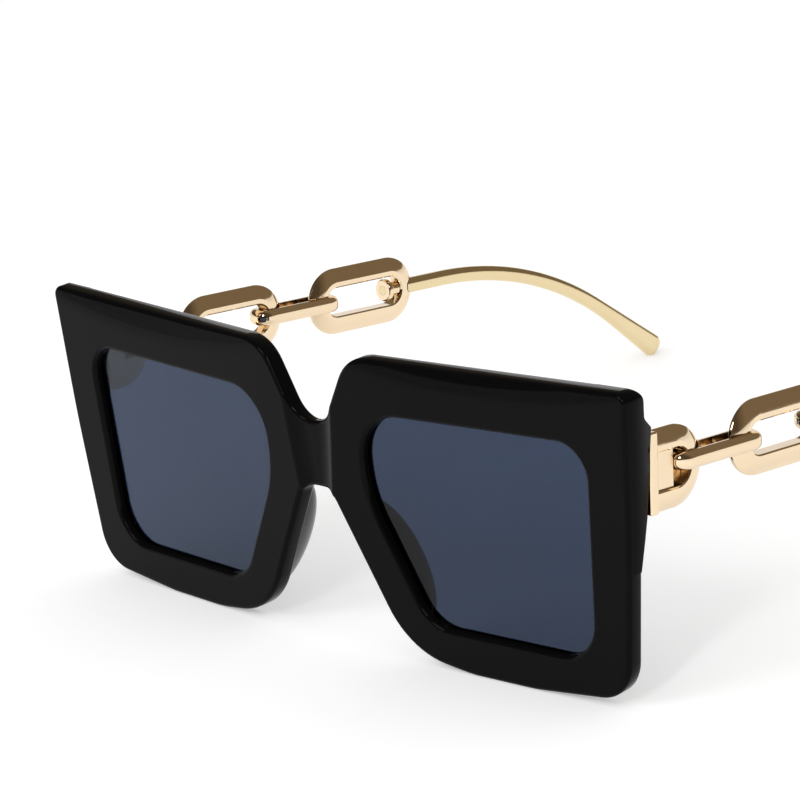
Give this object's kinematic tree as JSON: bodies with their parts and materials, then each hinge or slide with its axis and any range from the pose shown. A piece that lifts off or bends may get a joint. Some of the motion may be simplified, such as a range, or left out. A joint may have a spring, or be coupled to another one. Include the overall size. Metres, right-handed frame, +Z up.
{
  "type": "sunglasses",
  "caption": "Oversized square sunglasses with a thick glossy black front, dark flat lenses and folding gold temples made of chain links and slim curved arms.",
  "frame": {"origin": "on the table under the middle of the overall box: midway between the sides and between the front face and the temple tips", "axes": "+X to the wearer's left, +Y back along the open temples, +Z up; the glasses stand open on rims and temple tips"},
  "size_m": [0.1444, 0.1528, 0.0542],
  "materials": {
    "front_black": "polished",
    "pad_black": "polished",
    "lens_tint": "tinted, polished",
    "chain_gold": "polished, pale gold plated",
    "arm_gold": "polished, pale gold plated",
    "hinge_gold": "satin, gold plated",
    "screw_steel": "turned"
  },
  "bodies": {
    "front": {"front_frame": "front_black", "lens_left": "lens_tint", "lens_right": "lens_tint", "nose_pad_left": "pad_black", "nose_pad_right": "pad_black", "front_hinge_left": "hinge_gold", "front_hinge_right": "hinge_gold", "hinge_screw_left": "screw_steel", "hinge_screw_right": "screw_steel"},
    "left_temple": {"temple_hinge_left": "hinge_gold", "end_link_left": "chain_gold", "front_connector_left": "chain_gold", "front_chain_link_left": "chain_gold", "rear_connector_left": "chain_gold", "rear_chain_link_left": "chain_gold", "arm_disc_left": "chain_gold", "temple_arm_left": "arm_gold"},
    "right_temple": {"temple_hinge_right": "hinge_gold", "end_link_right": "chain_gold", "front_connector_right": "chain_gold", "front_chain_link_right": "chain_gold", "rear_connector_right": "chain_gold", "rear_chain_link_right": "chain_gold", "arm_disc_right": "chain_gold", "temple_arm_right": "arm_gold"}
  },
  "joints": [
    {"name": "left_temple_fold", "type": "hinge", "parent": "front", "child": "left_temple", "pos_m": [0.06626, -0.06613, 0.0399], "axis": [-0.0024, 0.0993, 0.9951], "range_deg": [0, 88]},
    {"name": "right_temple_fold", "type": "hinge", "parent": "front", "child": "right_temple", "pos_m": [-0.06626, -0.06613, 0.0399], "axis": [-0.0024, -0.0993, -0.9951], "range_deg": [0, 77]}
  ]
}
